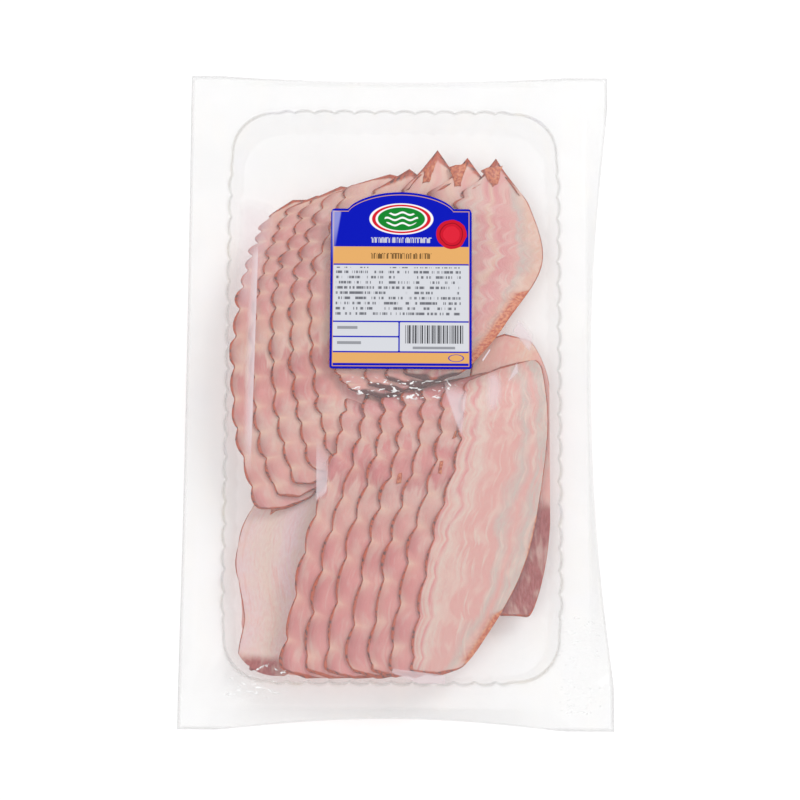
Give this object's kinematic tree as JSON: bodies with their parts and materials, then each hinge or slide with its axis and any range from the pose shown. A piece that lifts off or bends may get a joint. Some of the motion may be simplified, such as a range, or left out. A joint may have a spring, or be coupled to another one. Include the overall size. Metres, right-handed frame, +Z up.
{
  "type": "bacon pack",
  "caption": "Shallow clear tray of sliced smoked bacon, shingled in two stacks under a sealed clear lid film with a printed paper label, lying flat on its floor.",
  "frame": {"origin": "bottom centre of the pack's bounding box, on the underside of the tray's floor", "axes": "+Z up, from the tray's floor to the lid film; +Y along the pack's length, towards the arched end of the label; +X to the right as the label is seen"},
  "size_m": [0.23, 0.358, 0.0373],
  "materials": {
    "tray_plastic": "clear thermoformed plastic, glossy, with fluted walls",
    "lid_film": "thin clear lid film, glossy, slightly wrinkled",
    "label_paper": "smooth coated paper with printed fields of blue, gold and pale grey",
    "bacon": "moist cured meat: pink lean, cream fat and a browned smoked edge",
    "bacon_under": "moist cured meat, darker where slices lie on each other"
  },
  "bodies": {
    "root": {"tray": "tray_plastic", "lid_film": "lid_film", "label": "label_paper", "upper_slice_1": "bacon", "upper_slice_2": "bacon", "upper_slice_3": "bacon", "upper_slice_4": "bacon", "upper_slice_5": "bacon", "upper_slice_6": "bacon", "upper_slice_7": "bacon", "upper_slice_8": "bacon", "upper_slice_9": "bacon", "lower_slice_1": "bacon", "lower_slice_2": "bacon", "lower_slice_3": "bacon", "lower_slice_4": "bacon", "lower_slice_5": "bacon", "lower_slice_6": "bacon", "lower_slice_7": "bacon", "upper_bundle": "bacon_under", "lower_bundle": "bacon_under", "under_slice_left": "bacon_under", "under_slice_right": "bacon_under"}
  },
  "joints": []
}
